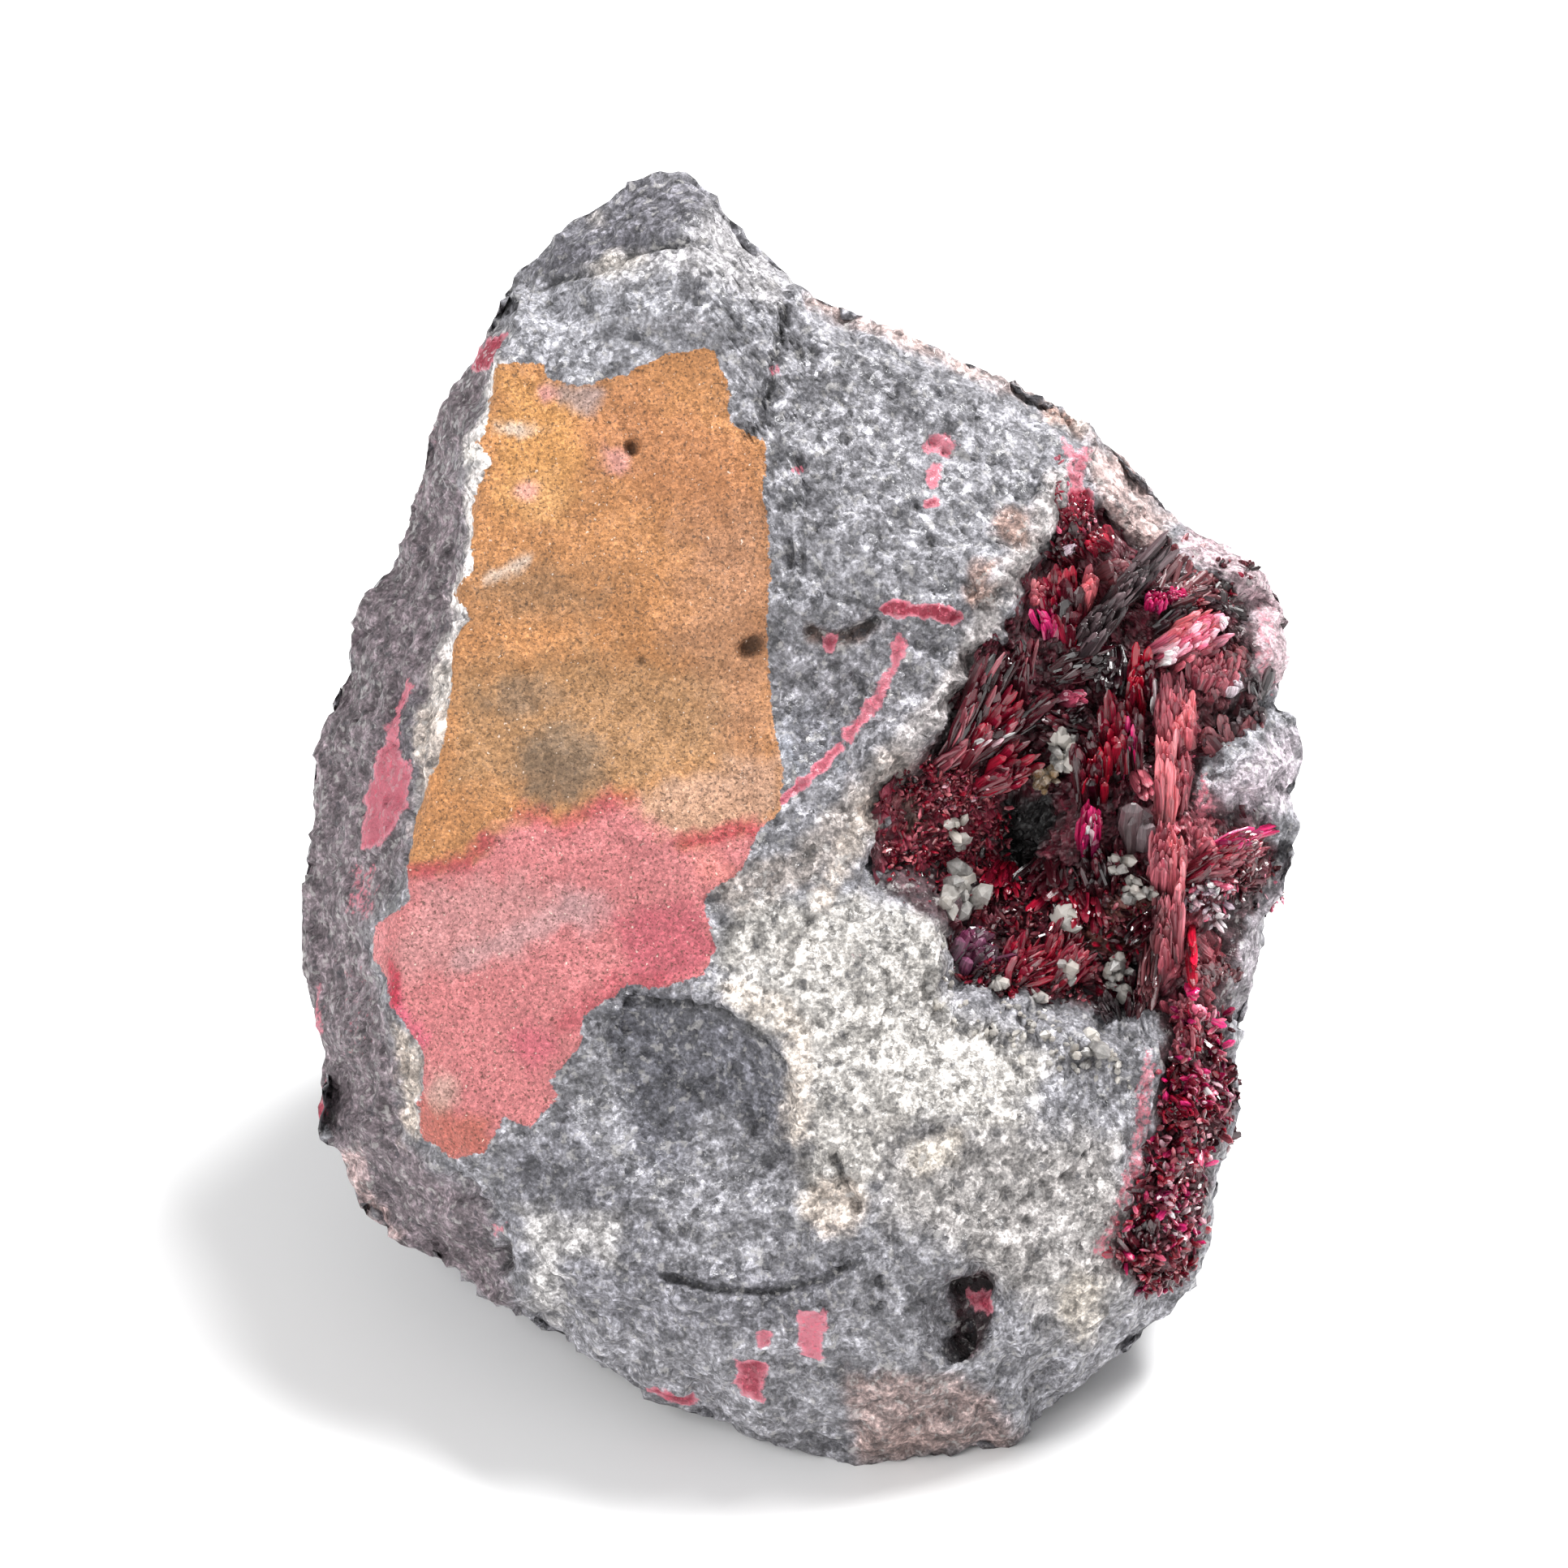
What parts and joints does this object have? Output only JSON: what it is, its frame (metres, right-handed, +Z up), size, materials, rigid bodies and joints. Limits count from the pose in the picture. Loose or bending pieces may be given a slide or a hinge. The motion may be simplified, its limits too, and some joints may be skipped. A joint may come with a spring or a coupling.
{
  "type": "erythrite mineral specimen on matrix",
  "caption": "Hand-sized wedge of grey rock on a flat base, with a hollow in its upper right lined by a crust of crimson bladed crystals that runs on down its right edge.",
  "frame": {"origin": "middle of the specimen's box, on the surface that it stands on", "axes": "+Z up, the way it stands; -Y towards the viewer, out of the display face; +X to the viewer's right, the side with the crystal hollow"},
  "size_m": [0.0733, 0.0628, 0.0751],
  "materials": {
    "matrix": "rough broken quartz rock, grey with dark ore specks, partly coated orange and pink",
    "erythrite": "glassy crimson to pink bladed crystals"
  },
  "bodies": {
    "root": {"matrix": "matrix", "erythrite_crust": "erythrite"}
  },
  "joints": []
}
